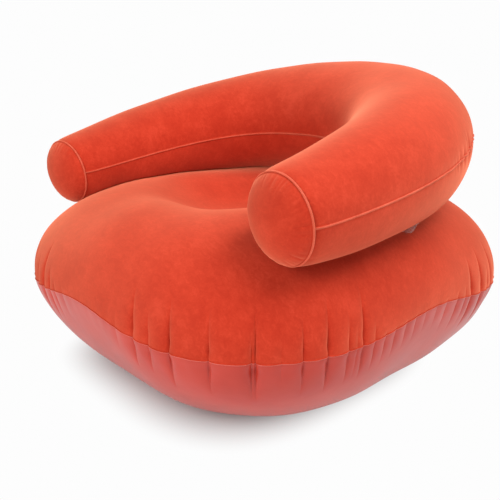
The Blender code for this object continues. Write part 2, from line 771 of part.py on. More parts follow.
remove_everything()
chair = make_collection("inflatable_armchair")
cutters = make_collection("cutters")
flock = make_material("flocked_sheet", srgb(228, 72, 45), 0.85)
vinyl = make_material("vinyl_sheet", srgb(204, 96, 90), 0.35)
film = make_material("clear_film", srgb(226, 196, 188), 0.20, 0.5)
plastic = make_material("valve_plastic", srgb(226, 214, 208), 0.40)
rubber = make_material("valve_rubber", srgb(150, 150, 148), 0.60)
centreline = tube_line()
seat_bottom_item = build_seat(chair, cutters, flock, vinyl)
tube_bottom_item = build_tube(chair, centreline, flock)
build_tabs(chair, centreline, film)
build_valve("seat", seat_valve_frame(), seat_bottom_item, chair, cutters, plastic, rubber)
build_valve("tube", tube_valve_frame(centreline), tube_bottom_item, chair, cutters, plastic, rubber)
bpy.context.view_layer.update()
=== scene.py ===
"""Inflatable armchair: a flocked pillow seat that carries a horseshoe tube for its back and arms.

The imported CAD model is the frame. Each soft sheet of it is replaced by a finely gathered one of
the same form, and the air valves get their moulded detail. Units are metres and +Z is up.
"""

import json
import math

import bmesh
import bpy
import numpy as np
from mathutils import Matrix, Vector


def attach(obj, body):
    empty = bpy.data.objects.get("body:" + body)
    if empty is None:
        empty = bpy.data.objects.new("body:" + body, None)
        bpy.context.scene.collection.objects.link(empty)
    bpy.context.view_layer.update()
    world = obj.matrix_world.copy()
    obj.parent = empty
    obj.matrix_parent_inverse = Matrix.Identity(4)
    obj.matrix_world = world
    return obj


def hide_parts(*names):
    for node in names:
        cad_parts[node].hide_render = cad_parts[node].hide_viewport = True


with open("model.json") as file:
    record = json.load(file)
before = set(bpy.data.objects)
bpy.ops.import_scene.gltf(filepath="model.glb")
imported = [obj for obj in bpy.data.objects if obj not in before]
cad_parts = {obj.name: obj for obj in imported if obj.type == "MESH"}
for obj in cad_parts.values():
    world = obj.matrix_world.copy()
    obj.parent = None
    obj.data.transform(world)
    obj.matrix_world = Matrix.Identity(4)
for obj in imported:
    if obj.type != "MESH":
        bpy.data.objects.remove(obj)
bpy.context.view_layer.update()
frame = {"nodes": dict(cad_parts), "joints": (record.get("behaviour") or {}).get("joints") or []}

# Seat, upper sheet
# A square of flocked PVC, welded face to face with the lower one round the rim. Blown up, the rim
# draws in: the sheet crowns, gathers into folds at its corners, and is tied down in a dimple.
SHEET = 0.0005
LIP_RISE = 0.00065
SEAT_WIDTH = 1.04
SEAT_DEPTH = 1.05
SEAM_HEIGHT = 0.242
SEAM_SIDE_RISE = 0.013
SEAM_RIPPLE = 0.0045
OUTLINE_POWER = 3.24
CROWN_RISE = 0.250
CROWN_POWER = 3.33
CROWN_ROUNDING = 1.91
SAG_DEPTH = 0.050
SAG_SPREAD = 0.278
SAG_FORWARD = 0.119
DIMPLE_DEPTH = 0.065
DIMPLE_SPREAD = 0.170
DIMPLE_WIDENING = 1.2
DIMPLE_FORWARD = 0.070
DIMPLE_POWER = 3
DIMPLE_FADE_POWER = 16
ARM_END_X = 0.7865 * SEAT_WIDTH / 2
ARM_END_Y = -0.6486 * SEAT_DEPTH / 2
ARM_DENT_DEPTH = 0.008
ARM_DENT_SPREAD = 0.120
BEND_X = 0.8115 * SEAT_WIDTH / 2
BEND_Y = -0.2981 * SEAT_DEPTH / 2
BACK_Y = 0.5305 * SEAT_DEPTH / 2
BEND_POWER = 2.2
PRESSED_DEPTH = 0.010
PRESSED_SHARE = 0.80
PRESSED_SPREAD = 0.12
PRESSED_FADE_SHARE = 0.4
HALF_SEAT = (SEAT_WIDTH + SEAT_DEPTH) / 4
QUARTER = math.pi / 2
FULL_TURN = 2 * math.pi


def seam_reach(angle):
    """Distance from the seat's middle out to its seam, seen from above."""
    across = np.abs(np.cos(angle)) / (SEAT_WIDTH / 2)
    along = np.abs(np.sin(angle)) / (SEAT_DEPTH / 2)
    return (across ** OUTLINE_POWER + along ** OUTLINE_POWER) ** (-1 / OUTLINE_POWER)


def seam_share(x, y):
    """How far out a plan point lies, 0 in the middle and 1 on the seam."""
    return np.minimum(np.hypot(x, y) / seam_reach(np.arctan2(y, x)), 1)


def seam_wave(angle):
    """The corners of the seam hang lower than the middles of its sides."""
    return SEAM_SIDE_RISE * np.cos(4 * angle) + SEAM_RIPPLE * np.cos(8 * angle)


def pressed_in(x, y):
    """The sheet gives a little inside the tube that lies on it."""
    behind = np.maximum(y - BEND_Y, 0) / (BACK_Y - BEND_Y)
    line = (np.abs(x / BEND_X) ** BEND_POWER + behind ** BEND_POWER) ** (1 / BEND_POWER)
    fade = np.clip(behind / PRESSED_FADE_SHARE, 0, 1)
    return PRESSED_DEPTH * fade * np.exp(-((line - PRESSED_SHARE) / PRESSED_SPREAD) ** 2)


def seat_top(x, y):
    """Height of the upper sheet: a crown that sags, dented by the arms and tied down in front."""
    share = seam_share(x, y)
    crown = CROWN_RISE * (1 - share ** CROWN_POWER) ** (1 / CROWN_ROUNDING)
    sag = SAG_DEPTH * np.exp(-(np.hypot(x, y + SAG_FORWARD) / SAG_SPREAD) ** 2)
    away = np.hypot(x / DIMPLE_WIDENING, y + DIMPLE_FORWARD) / DIMPLE_SPREAD
    dimple = DIMPLE_DEPTH * np.exp(-away ** DIMPLE_POWER)
    arm = np.hypot(np.abs(x) - ARM_END_X, y - ARM_END_Y) / ARM_DENT_SPREAD
    dent = ARM_DENT_DEPTH * np.exp(-arm ** 2)
    hollow = (sag + dimple + dent) * (1 - share ** DIMPLE_FADE_POWER) + pressed_in(x, y)
    return SEAM_HEIGHT + seam_wave(np.arctan2(y, x)) * share ** 2 + crown - hollow + LIP_RISE


# The folds that the photograph shows: angle round the seat in degrees, then millimetres for the
# depth of the sharp crease, the depth of the hollow round it, and its reach above and below.
SEEN_FOLDS = (
    (238.5, 6, 4, 95, 85), (243.8, 5, 3, 70, 80), (248.8, 9, 5, 115, 95), (253.6, 5, 3, 60, 85),
    (256.9, 3, 2, 28, 75), (261.5, 1, 2, 20, 60), (285.8, 1, 2, 24, 45), (290.9, 8, 5, 100, 70),
    (295.3, 6, 4, 70, 66), (300.1, 10, 5, 100, 88), (307.9, 9, 5, 95, 80), (315.2, 9, 3, 60, 96),
    (315.9, 11, 5, 108, 96), (320.2, 2, 3, 50, 55), (324.1, 8, 4, 85, 84), (328.8, 10, 4, 110, 92),
    (333.1, 6, 3, 74, 84), (334.9, 3, 2, 50, 76), (336.5, 9, 3, 115, 80), (339.4, 4, 2, 40, 74),
    (342.3, 3, 3, 10, 72), (345.3, 3, 3, 8, 70), (348.8, 2, 3, 8, 64), (352.3, 2, 2, 6, 60),
    (356.0, 1, 2, 6, 56), (360.4, 1, 2, 6, 60), (364.8, 2, 3, 10, 72), (369.8, 3, 3, 20, 82),
    (373.4, 2, 2, 30, 72), (376.9, 7, 4, 92, 92), (382.8, 8, 4, 105, 92), (386.5, 4, 2, 60, 84),
    (390.0, 8, 4, 112, 95), (395.0, 6, 3, 90, 90),
)
REACH_ABOVE, REACH_BELOW = 3, 4

# The corners out of sight, the ranges of angle that have no fold yet, and the longest fold there.
HIDDEN_CORNERS = (45, 135, 225)
HIDDEN_RANGES = ((36, 160), (196, 235))
FOLDS_PER_CORNER = 11
FOLD_SPACING = 5.4
LONGEST_FOLD = (10, 5, 115, 95)
GATHERS = 96
GATHER_DEPTHS = (0.4, 2.2)
GATHER_REACHES = ((15, 60), (25, 85))
STRAIGHT_SIDE_SHARE = 0.4
CREASE_WIDTH = 0.0034
CREASE_TAPER = 1.25
HOLLOW_WIDTH = 0.0125
HOLLOW_TAPER = 1.9
HELD_BY_WELD_SHARE = 0.50
HELD_RUN = 0.022

FOLD_SEED = 7
dice = np.random.default_rng(FOLD_SEED)


def hidden_folds():
    """Folds of the same kind for the corners that the photograph doesn't show."""
    rows = []
    for corner in HIDDEN_CORNERS:
        for k in range(FOLDS_PER_CORNER):
            turn = corner + (k - (FOLDS_PER_CORNER - 1) / 2) * FOLD_SPACING + dice.uniform(-1, 1)
            long = dice.uniform(0.5, 1.0)
            if any(low < turn < high for low, high in HIDDEN_RANGES):
                rows.append((turn, *(size * long for size in LONGEST_FOLD)))
    return rows


def small_gathers():
    """Slight puckers all round the weld, shallower along the straight sides."""
    rows = []
    for k in range(GATHERS):
        turn = 360 * (k + dice.uniform(0, 1)) / GATHERS
        at_corner = abs(math.sin(2 * math.radians(turn)))
        depth = dice.uniform(*GATHER_DEPTHS) * (STRAIGHT_SIDE_SHARE + at_corner)
        rows.append((turn, 0, depth, *(dice.uniform(*reaches) for reaches in GATHER_REACHES)))
    return rows


def fold_table(rows):
    """Folds in radians and metres."""
    table = np.array(rows, dtype=float)
    table[:, 0] = np.radians(table[:, 0]) % FULL_TURN
    table[:, 1:] /= 1000
    return table


creases = fold_table(list(SEEN_FOLDS) + hidden_folds())
folds = np.concatenate([creases, fold_table(small_gathers())])


def turn_between(angle, other):
    """Angle between two directions, the short way round."""
    return np.abs((angle - other + math.pi) % FULL_TURN - math.pi)


def along_seam(angle, other):
    """Distance along the seam between two angles."""
    return turn_between(angle, other) * seam_reach(other)


def smoothstep(value):
    value = np.clip(value, 0, 1)
    return value * value * (3 - 2 * value)


def fold_depth(angle, away, reach_column, sharpness=1.0):
    """How far the folds draw the sheet in, at angles round the seam and distances from it."""
    total = np.zeros(np.broadcast(angle, away).shape)
    for fold in folds:
        turn, crease, hollow = fold[:3]
        near = along_seam(angle, turn)
        run = np.clip(1 - away / fold[reach_column], 0, 1)
        total += crease * sharpness * run ** CREASE_TAPER * np.exp(-near / CREASE_WIDTH)
        total += hollow * run ** HOLLOW_TAPER * np.exp(-(near / HOLLOW_WIDTH) ** 2)
    return total * (1 - HELD_BY_WELD_SHARE * (1 - smoothstep(away / HELD_RUN)))


# Spacing of the sheets' meridians at the seam, and the distances from it at which they merge.
FINE_COLUMN = 0.0010
COARSE_COLUMN = 0.0060
COLUMN_GROWTH = 0.22
VALVE_COLUMN = 0.0030
VALVE_REACH = 0.045
TURN_STEPS = 14400
MERGE_STAGES = (0.135, 0.24, 0.36)
MOST_MERGED = 2 ** len(MERGE_STAGES)


def seat_columns():
    """Angles of the sheets' meridians: close together at the folds, and one on each crease."""
    turn = np.linspace(0, FULL_TURN, TURN_STEPS + 1)
    spacing = np.full(turn.shape, COARSE_COLUMN)
    for crease in creases:
        spacing = np.minimum(spacing, FINE_COLUMN + COLUMN_GROWTH * along_seam(turn, crease[0]))
    at_valve = along_seam(turn, QUARTER) < VALVE_REACH
    spacing = np.where(at_valve, np.minimum(spacing, VALVE_COLUMN), spacing)
    count = np.concatenate([[0], np.cumsum(seam_reach(turn[1:]) * np.diff(turn) / spacing[1:])])
    wanted = MOST_MERGED * round(count[-1] / MOST_MERGED)
    angles = np.interp(np.linspace(0, count[-1], wanted + 1)[:-1], count, turn)
    for crease in creases:
        angles[np.abs(angles - crease[0]).argmin()] = crease[0]
    return np.sort(angles)


columns = seat_columns()

FIRST_ROW = 0.0012
ROW_GROWTH = 0.055
LARGEST_TOP_ROW = 0.016
PROFILE_STEPS = 20000


def rows_from_seam(run_out, height, largest):
    """Places down a profile, close together at the seam and opening up inwards."""
    run = np.concatenate([[0], np.cumsum(np.hypot(np.diff(run_out), np.diff(height)))])
    stops = [0.0]
    while stops[-1] < run[-1]:
        stops.append(stops[-1] + min(FIRST_ROW + ROW_GROWTH * stops[-1], largest))
    stops = np.array(stops) * run[-1] / stops[-1]
    return np.interp(stops, run, run_out), stops


def plan_points(share, angle, centre_y):
    """Places on the floor plan: rings that turn from the seam's outline to circles inwards."""
    reach = share * ((1 - share) * HALF_SEAT + share * seam_reach(angle))
    return reach * np.cos(angle), reach * np.sin(angle) + centre_y * (1 - share) ** 2


def rim_normals():
    """Level directions straight out of the seam."""
    x, y = plan_points(1.0, columns, 0)
    ahead_x, ahead_y = [np.roll(v, -1) - np.roll(v, 1) for v in (x, y)]
    length = np.hypot(ahead_x, ahead_y)
    return np.stack([ahead_y / length, -ahead_x / length, 0 * x], axis=-1)


def surface_normals(points, inside):
    """Normals of a closed grid of points, away from a point inside."""
    around = np.roll(points, -1, axis=1) - np.roll(points, 1, axis=1)
    normal = np.cross(around, np.gradient(points, axis=0))
    normal /= np.maximum(np.linalg.norm(normal, axis=2, keepdims=True), 1e-12)
    inward = ((points - inside) * normal).sum(axis=2, keepdims=True) < 0
    normal = np.where(inward, -normal, normal)
    normal[-1] = normal[-2].mean(axis=0)
    return normal


SLOW_WAVES = 9
SLOW_WAVE_SHARES = (0.6, 1.5)
SEAT_WAVE_SIZE = 0.20
SEAT_WAVE_RISE = 0.0011
SEAT_TOP_SEED = 11


def unevenness(points, size, rise, seed):
    """A slow random rise and fall, as hand-placed welds and soft sheet give."""
    waves = np.random.default_rng(seed)
    total = np.zeros(points.shape[:2])
    for _ in range(SLOW_WAVES):
        direction = waves.normal(size=3)
        length = size * waves.uniform(*SLOW_WAVE_SHARES)
        direction *= FULL_TURN / (length * np.linalg.norm(direction))
        total += np.sin(points @ direction + waves.uniform(0, FULL_TURN))
    return total * rise / math.sqrt(SLOW_WAVES)


# The web holds the middle of the seat even, and the upper sheet there covers its flange.
SETTLE_RUN = 0.05
HELD_BY_WEB = 0.16
HELD_POWER = 4
WEB_COVER = 0.0016
TURN_OVER_RUN = 0.02

# The weld squeezes the two sheets into a bead. From its edge inwards, each half stands out from
# the seam and up from the seam's plane by these metres.
SEAT_BEAD = ((0.0014, 0.00015), (0.0013, 0.0006), (0.0008, 0.0010))


def seat_sheet(height_at, side, centre_y, share, away, reach_column, seed, sharpness=1.0):
    """Points of a gathered seat sheet: its bead, then rows from the seam to the middle."""
    angle, share = np.meshgrid(columns, share)
    x, y = plan_points(share, angle, centre_y)
    points = np.stack([x, y, height_at(x, y)], axis=-1)
    away = away[:, None]
    rim = rim_normals()
    turned = smoothstep(away / TURN_OVER_RUN)[..., None]
    normals = surface_normals(points, np.array([0, 0, SEAM_HEIGHT])) * turned + rim * (1 - turned)
    held = np.exp(-(np.hypot(x, y - centre_y) / HELD_BY_WEB) ** HELD_POWER)
    slow = unevenness(points, SEAT_WAVE_SIZE, SEAT_WAVE_RISE, seed)
    slow = slow * np.clip(away / SETTLE_RUN, 0, 1) * (1 - held)
    slow += WEB_COVER * held * (side > 0)
    drawn = fold_depth(angle, away, reach_column, sharpness)
    points = points + normals * (slow - drawn)[..., None]
    up = np.array([0, 0, side])
    bead = np.array([points[0] + rim * out + up * (rise - LIP_RISE) for out, rise in SEAT_BEAD])
    points[0] += up * (SEAT_BEAD[-1][1] - LIP_RISE)
    return np.concatenate([bead, points])


def thin_middle(points, away):
    """Merges meridians towards the middle, where they crowd: by twos, fours, then eights."""
    index = np.arange(points.shape[1])
    first = len(points) - len(away)
    for row, distance in enumerate(away):
        step = 2 ** sum(distance > stage for stage in MERGE_STAGES)
        points[first + row] = points[first + row, index - index % step]
    return points


def closed(points):
    """Repeats a grid's first column, so that its ends meet."""
    return np.concatenate([points, points[:, :1]], axis=1)


def cut_hole(bm, middle, axis, reach):
    """Opens a sheet round an axis that goes through it."""
    middle, axis = Vector(middle), Vector(axis)
    inside = []
    for face in bm.faces:
        offset = face.calc_center_median() - middle
        height = offset.dot(axis)
        if abs(height) < 2 * reach and (offset - axis * height).length < reach:
            inside.append(face)
    bmesh.ops.delete(bm, geom=inside, context="FACES")


def new_mesh(name, bm):
    mesh = bpy.data.meshes.new(name)
    bm.to_mesh(mesh)
    bm.free()
    return mesh


def new_object(name, data):
    item = bpy.data.objects.new(name, data)
    bpy.context.scene.collection.objects.link(item)
    return item


SAME_POINT = 0.000002


def skin(name, points, inside, first_lip=0, last_lip=0, hole=None):
    """A thin sheet through a grid of points, with its lips in the second material."""
    rows, across = points.shape[:2]
    bm = bmesh.new()
    bmesh.ops.create_grid(bm, x_segments=across - 1, y_segments=rows - 1, size=1)
    row_of = bm.verts.layers.int.new("row")
    for vert in bm.verts:
        column = round((vert.co.x + 1) / 2 * (across - 1))
        vert[row_of] = round((vert.co.y + 1) / 2 * (rows - 1))
        vert.co = points[vert[row_of], column]
    for face in bm.faces:
        face.smooth = True
        used = [vert[row_of] for vert in face.verts]
        on_lip = max(used) <= first_lip or min(used) >= rows - 1 - last_lip
        face.material_index = 1 if on_lip else 0
    bmesh.ops.remove_doubles(bm, verts=bm.verts, dist=SAME_POINT)
    if hole is not None:
        cut_hole(bm, *hole)
    bmesh.ops.recalc_face_normals(bm, faces=bm.faces)
    inside = Vector(inside)
    nearest = min(bm.faces, key=lambda face: (face.calc_center_median() - inside).length)
    if (inside - nearest.calc_center_median()).dot(nearest.normal) > 0:
        bmesh.ops.reverse_faces(bm, faces=bm.faces)
    item = new_object(name, new_mesh(name, bm))
    solid = item.modifiers.new("sheet", "SOLIDIFY")
    solid.thickness = SHEET
    solid.offset = -1
    return item


middle_of_seat = (0, 0, SEAM_HEIGHT)
crown_share = np.linspace(1, 0, PROFILE_STEPS + 1)
crown_height = CROWN_RISE * (1 - crown_share ** CROWN_POWER) ** (1 / CROWN_ROUNDING)
top_run, top_away = rows_from_seam(crown_share * HALF_SEAT, crown_height, LARGEST_TOP_ROW)
top_points = seat_sheet(seat_top, 1, -DIMPLE_FORWARD, top_run / HALF_SEAT, top_away, REACH_ABOVE,
                        SEAT_TOP_SEED)
seat_top_skin = skin("seat_top_skin", closed(thin_middle(top_points, top_away)), middle_of_seat)


def srgb(code):
    """Linear colour of a screen colour such as "#E4482D"."""
    values = [int(code[k:k + 2], 16) / 255 for k in (1, 3, 5)]
    linear = [v / 12.92 if v <= 0.04045 else ((v + 0.055) / 1.055) ** 2.4 for v in values]
    return (*linear, 1.0)


def add_node(material, kind, settings=(), **links):
    """A node with its settings, and its sockets set to values or linked to outputs."""
    node = material.node_tree.nodes.new(kind)
    for key, value in dict(settings).items():
        setattr(node, key, value)
    for key, value in links.items():
        socket = node.inputs[int(key[1:]) if key[1:].isdigit() else key.replace("_", " ")]
        if isinstance(value, bpy.types.NodeSocket):
            material.node_tree.links.new(value, socket)
        else:
            socket.default_value = value
    return node


def new_material(name, **settings):
    """A Principled material, its shader and its object coordinates. Settings go by socket name."""
    material = bpy.data.materials.new(name)
    material.use_nodes = True
    shader = material.node_tree.nodes["Principled BSDF"]
    for key, value in settings.items():
        shader.inputs[key.replace("_", " ")].default_value = value
    return material, shader, add_node(material, "ShaderNodeTexCoord").outputs["Object"]


def maths(material, operation, *values, kind="ShaderNodeMath"):
    """Result of a maths node on values or outputs."""
    links = {"_%d" % k: value for k, value in enumerate(values)}
    return add_node(material, kind, {"operation": operation}, **links).outputs[0]


def noise(material, place, size, detail, **settings):
    """A noise pattern with clouds of about that size in metres."""
    return add_node(material, "ShaderNodeTexNoise", Vector=place, Scale=1 / size, Detail=detail,
                    **settings).outputs[0]


def add_relief(material, shader, pattern, strength, depth, **settings):
    """Bumps from a pattern. Returns them, for another relief on top."""
    relief = add_node(material, "ShaderNodeBump", Strength=strength, Distance=depth,
                      Height=pattern, **settings).outputs[0]
    material.node_tree.links.new(relief, shader.inputs["Normal"])
    return relief


def add_colours(material, shader, pattern, colours):
    """The base colour by a pattern, from pairs of its value and a screen colour."""
    ramp = add_node(material, "ShaderNodeValToRGB", Fac=pattern)
    stops = ramp.color_ramp.elements
    for value, _ in colours[1:-1]:
        stops.new(value)
    for stop, (value, code) in zip(stops, colours):
        stop.position, stop.color = value, srgb(code)
    material.node_tree.links.new(ramp.outputs[0], shader.inputs["Base Color"])


# Flocked PVC: short nylon fibres glued upright on the sheet, coral red. The pile scatters light
# back at a slant, so edges look paler, and hands have brushed it into soft clouds and strokes.
NAP_CLOUD = 0.055
NAP_STROKE = 0.016
NAP_GRAIN = 0.0032
NAP_MARK = 0.050
NAP_MARK_WIDTH = 0.02
NAP_STRETCH = (1.0, 1.9, 1.3)
NAP_SLANT = (0.5, 0.3, 0.7)
CLOUD_SHARE = 0.38
STROKE_SHARE = 0.42
GRAIN_SHARE = 0.15
MARK_SHARE = 0.07
FLOCK_ROUGHNESS = 0.92
FLOCK_COLOURS = ((0.38, "#AE2B18"), (0.50, "#B7321D"), (0.62, "#C13A25"))


def flocked_pvc(name, colours, roughness):
    material, shader, place = new_material(
        name, Roughness=roughness, Specular_IOR_Level=0.08, Sheen_Weight=0.85,
        Sheen_Roughness=0.5, Sheen_Tint=srgb("#FF9D78"))
    slanted = add_node(material, "ShaderNodeMapping", Vector=place, Scale=NAP_STRETCH,
                       Rotation=NAP_SLANT).outputs[0]
    cloud = noise(material, place, NAP_CLOUD, 2.0, Roughness=0.5, Distortion=0.3)
    stroke = noise(material, slanted, NAP_STROKE, 4.0, Roughness=0.6, Distortion=0.8)
    grain = noise(material, place, NAP_GRAIN, 1.0, Roughness=0.5)
    wander = noise(material, slanted, NAP_MARK, 3.0, Roughness=0.55, Distortion=2.2)
    off_line = maths(material, "ABSOLUTE", maths(material, "SUBTRACT", wander, 0.5))
    mark = add_node(material, "ShaderNodeMapRange", Value=off_line, From_Min=0.0,
                    From_Max=NAP_MARK_WIDTH, To_Min=1.0, To_Max=0.0).outputs[0]
    nap = maths(material, "MULTIPLY", cloud, CLOUD_SHARE)
    for pattern, weight in ((stroke, STROKE_SHARE), (grain, GRAIN_SHARE), (mark, MARK_SHARE)):
        nap = maths(material, "MULTIPLY_ADD", pattern, weight, nap)
    add_colours(material, shader, nap, colours)
    fibres = add_relief(material, shader, grain, strength=0.20, depth=0.0005)
    add_relief(material, shader, stroke, strength=0.12, depth=0.0012, Normal=fibres)
    return material


flock = flocked_pvc("flocked_pvc_coral", FLOCK_COLOURS, FLOCK_ROUGHNESS)


def finish_piece(item, materials, body, node):
    for material in materials:
        item.data.materials.append(material)
    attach(item, body)
    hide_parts(node)


finish_piece(seat_top_skin, (flock,), "chair", "seat_top_panel")

# Seat, lower sheet and tie web
# The lower sheet is the same PVC left bare: calendered, smooth and semi-gloss. It lies on the
# floor in its middle. A sleeve of it inside ties the dimple down; its edges are welded on.
FLOOR_SHARE = 0.40
BELLY_POWER = 2.6
BELLY_ROUNDING = 1.42
SIDE_BELLY = 0.006
SIDE_BELLY_BACK = 0.40
SIDE_BELLY_FADE = 0.25
LARGEST_LOW_ROW = 0.010
SEAT_BOTTOM_SEED = 5
FLOOR_ROW_SHARES = (0.36, 0.28, 0.18, 0.08, 0.0)
BARE_SHARPNESS = 0.95

# Height of a valve plug's head above the sheet, the hole for its neck, and the flange's pad.
PLUG_FLOOR = 0.0041
HOLE_REACH = 0.0190
PAD_FLAT = 0.031
PAD_EDGE = 0.060


def belly_lift(climb):
    """Rise of the lower sheet from the floor, 0, to the seam, 1."""
    return 1 - (1 - climb ** BELLY_POWER) ** (1 / BELLY_ROUNDING)


def seat_bottom(x, y):
    """Height of the lower sheet, a little fuller in the middles of its front and sides."""
    climb = np.maximum(seam_share(x, y) - FLOOR_SHARE, 0) / (1 - FLOOR_SHARE)
    lift = belly_lift(climb)
    angle = np.arctan2(y, x)
    fuller = SIDE_BELLY * np.cos(4 * angle) * np.sin(math.pi * climb)
    fuller = fuller * smoothstep((SIDE_BELLY_BACK - y) / SIDE_BELLY_FADE)
    return (SEAM_HEIGHT + seam_wave(angle) - LIP_RISE) * lift - fuller


def valve_axis(prefix):
    """Middle of a valve on its sheet, and the direction out of the chamber."""
    screw = next(j for j in frame["joints"] if j["name"] == prefix + "_plug_screw")
    axis = np.array(screw["axis"])
    return np.array(screw["pos_m"]) - axis * PLUG_FLOOR, axis


def lay_flat(points, middle, axis):
    """Presses a sheet flat under a valve's flange, and eases it off round the flange."""
    offset = points - middle
    height = offset @ axis
    away = np.linalg.norm(offset - height[..., None] * axis, axis=-1)
    ease = smoothstep((PAD_EDGE - away) / (PAD_EDGE - PAD_FLAT)) * (np.abs(height) < PAD_EDGE)
    return points - axis * (height * ease)[..., None]


seat_valve_middle, seat_valve_out = valve_axis("seat")
belly_share = np.linspace(1, FLOOR_SHARE, PROFILE_STEPS + 1)
belly_height = SEAM_HEIGHT * belly_lift((belly_share - FLOOR_SHARE) / (1 - FLOOR_SHARE))
low_run, low_away = rows_from_seam(belly_share * HALF_SEAT, belly_height, LARGEST_LOW_ROW)
floor_rows = np.array(FLOOR_ROW_SHARES)
low_share = np.concatenate([low_run / HALF_SEAT, floor_rows])
low_away = np.concatenate([low_away, low_away[-1] + (FLOOR_SHARE - floor_rows) * HALF_SEAT])
low_points = seat_sheet(seat_bottom, -1, 0, low_share, low_away, REACH_BELOW, SEAT_BOTTOM_SEED,
                        BARE_SHARPNESS)
on_floor = np.concatenate([[False] * len(SEAT_BEAD), low_share <= FLOOR_SHARE])
low_points[on_floor, :, 2] = 0
low_points[:, :, 2] = np.maximum(low_points[:, :, 2], 0)
low_points = lay_flat(low_points, seat_valve_middle, seat_valve_out)
seat_bottom_skin = skin("seat_bottom_skin", closed(thin_middle(low_points, low_away)),
                        middle_of_seat, first_lip=len(SEAT_BEAD),
                        hole=(seat_valve_middle, seat_valve_out, HOLE_REACH))

VINYL_TONE = 1 / 9
VINYL_RIPPLE = 1 / 38
VINYL_COLOURS = ((0.35, "#B03325"), (0.68, "#BC3D2F"))
# Paler colours for the lower sheet's bead: a painted highlight where the bead catches light.
BEAD_HIGHLIGHT_COLOURS = ((0.35, "#CC6457"), (0.68, "#D67267"))


def bare_pvc(name, colours):
    """Bare sheet: slow shifts of tone and a slight ripple. Given paler colours, it paints a
    highlight along the bead.
    """
    material, shader, place = new_material(name, Roughness=0.30, IOR=1.53,
                                           Specular_IOR_Level=0.30)
    add_colours(material, shader, noise(material, place, VINYL_TONE, 3.0), colours)
    ripple = noise(material, place, VINYL_RIPPLE, 2.0)
    add_relief(material, shader, ripple, strength=0.15, depth=0.002)
    return material


vinyl = bare_pvc("calendered_pvc_coral", VINYL_COLOURS)
# The second material paints a highlight along the lower sheet's bead.
bead_highlight_vinyl = bare_pvc("calendered_pvc_painted_bead_highlight", BEAD_HIGHLIGHT_COLOURS)
finish_piece(seat_bottom_skin, (vinyl, bead_highlight_vinyl), "chair", "seat_bottom_panel")
web = frame["nodes"]["seat_tie_web"]
web.data.materials.clear()
web.data.materials.append(vinyl)

# Back-and-arm tube
# A second air chamber, an upper and a lower horseshoe of flocked sheet welded along the outer and
# the inner edge. It is thin at the arms' ends and fat at the back, and its weight is on the seat.
END_RADIUS = 0.0895
BACK_RADIUS = 0.159
END_CLEARANCE = 0.004
BACK_SINK = 0.013
SWELL_POWER = 1.75
RISE_POWER = 1.12
HEIGHT_SHARE = 0.944
UNDER_SHARE = 0.99
LEAN_SHARE = 0.034
TUBE_LIP = 0.003
TUBE_BEAD = ((0.0018, 0.00015), (0.0017, 0.0009), (0.0010, 0.0015))
REST_ROOM = 0.0009
REST_BLEND = 0.0024
UNDER_END_POINTS = 9
LEG_POINTS = 60
BEND_POINTS = 400
TANGENT_STEPS = 144


def end_height():
    """Height of the arms' middle line at their ends, where they lie on the seat."""
    angle = np.linspace(0, math.pi, UNDER_END_POINTS)
    reach = END_RADIUS + TUBE_LIP
    seat = seat_top(ARM_END_X + reach * np.cos(angle), ARM_END_Y)
    return (seat + reach * UNDER_SHARE * np.sin(angle)).max() + END_CLEARANCE


unpressed_seat = seat_top(0, BACK_Y) + pressed_in(0, BACK_Y)
back_height = unpressed_seat + BACK_RADIUS * HEIGHT_SHARE - BACK_SINK
tube_rise = back_height - end_height()


def tube_line():
    """Middle line of the tube: the left leg, the bend round the back and the right leg."""
    leg = np.linspace(0, 1, LEG_POINTS)[:-1]
    leg_x = ARM_END_X + (BEND_X - ARM_END_X) * np.sin(leg * QUARTER)
    leg_y = ARM_END_Y + (BEND_Y - ARM_END_Y) * leg
    turn = np.linspace(0, math.pi, BEND_POINTS)
    power = 2 / BEND_POWER
    bend_x = BEND_X * np.sign(np.cos(turn)) * np.abs(np.cos(turn)) ** power
    bend_y = BEND_Y + (BACK_Y - BEND_Y) * np.abs(np.sin(turn)) ** power
    x = np.concatenate([leg_x, bend_x, -leg_x[::-1]])
    y = np.concatenate([leg_y, bend_y, leg_y[::-1]])
    climb = ((y - ARM_END_Y) / (BACK_Y - ARM_END_Y)) ** RISE_POWER
    return np.stack([x, y, end_height() + tube_rise * climb], axis=1)


line = tube_line()
travel = np.concatenate([[0], np.cumsum(np.linalg.norm(np.diff(line, axis=0), axis=1))])
tube_length = travel[-1]
tube_run = BACK_Y - ARM_END_Y
lean = np.array([0, -(tube_rise + LEAN_SHARE * tube_run), tube_run])
lean /= np.linalg.norm(lean)


def on_line(at):
    """Points of the middle line at distances along it."""
    return np.stack([np.interp(at, travel, line[:, k]) for k in range(3)], axis=-1)


def tube_frame(at):
    """Middle, radius, tangent, outward and upward directions at distances along the tube."""
    reach = tube_length / TANGENT_STEPS
    ahead = on_line(np.clip(at + reach, 0, tube_length))
    behind = on_line(np.clip(at - reach, 0, tube_length))
    tangent = (ahead - behind) / np.linalg.norm(ahead - behind, axis=-1, keepdims=True)
    outward = np.cross(tangent, lean)
    outward /= np.linalg.norm(outward, axis=-1, keepdims=True)
    upward = np.cross(outward, tangent)
    from_end = 1 - np.abs(2 * at / tube_length - 1)
    radius = END_RADIUS + (BACK_RADIUS - END_RADIUS) * (1 - (1 - from_end) ** SWELL_POWER)
    return on_line(at), radius, tangent, outward, upward


def around_tube(outward, upward, angle):
    """From the tube's middle to its skin: it stands a little flat, and hangs fuller."""
    height_share = np.where(np.sin(angle) > 0, HEIGHT_SHARE, UNDER_SHARE)
    return (outward * np.cos(angle)[..., None]
            + upward * (np.sin(angle) * height_share)[..., None])


STATION = 0.0026
HALF_ROWS = 72
SEAM_CROWDING = 0.18
TUBE_GATHERS = 104
END_GATHERS = 40
SHOULDER = 0.0050
SHOULDER_RUN = 0.011
TUBE_WAVE_SIZE = 0.16
TUBE_WAVE_RISE = 0.0010
TUBE_WAVE_TAPER = 0.5
TUBE_SEED = 21

